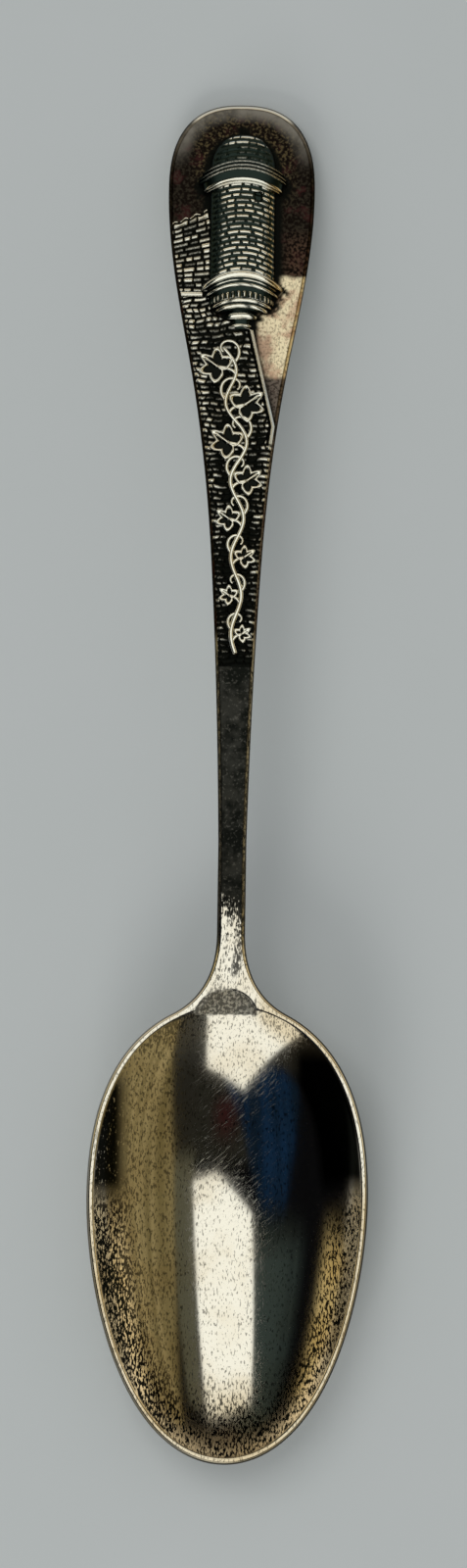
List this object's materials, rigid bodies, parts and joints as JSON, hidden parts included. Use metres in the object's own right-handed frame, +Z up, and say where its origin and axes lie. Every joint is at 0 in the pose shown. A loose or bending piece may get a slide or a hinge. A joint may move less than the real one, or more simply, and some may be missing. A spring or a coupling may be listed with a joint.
{
  "type": "souvenir spoon",
  "caption": "Struck silver souvenir teaspoon: egg-shaped bowl, slim arched stem, and a widening handle end with a masonry wall, ivy and a half-round corner turret in relief.",
  "frame": {"origin": "centre of the spoon's plan, on the table that it lies on face up", "axes": "+Y towards the end of the handle, +X to the right seen from above with the handle away, +Z up"},
  "size_m": [0.0302, 0.146, 0.013],
  "materials": {
    "polished_silver": "worn polish with golden and dark tarnish specks",
    "oxidised_silver": "oxidised recesses with bright worn tops",
    "relief_silver": "bright worn relief over dark recesses"
  },
  "bodies": {
    "root": {"bowl": "polished_silver", "stem": "polished_silver", "handle_blade": "polished_silver", "wall_panel": "oxidised_silver", "parapet_wall": "oxidised_silver", "parapet_ledge": "relief_silver", "turret_dome": "relief_silver", "turret_cornice": "relief_silver", "turret_drum": "relief_silver", "turret_corbel": "relief_silver", "turret_pendant": "relief_silver", "ivy_stem": "relief_silver", "ivy_leaves": "relief_silver"}
  },
  "joints": []
}
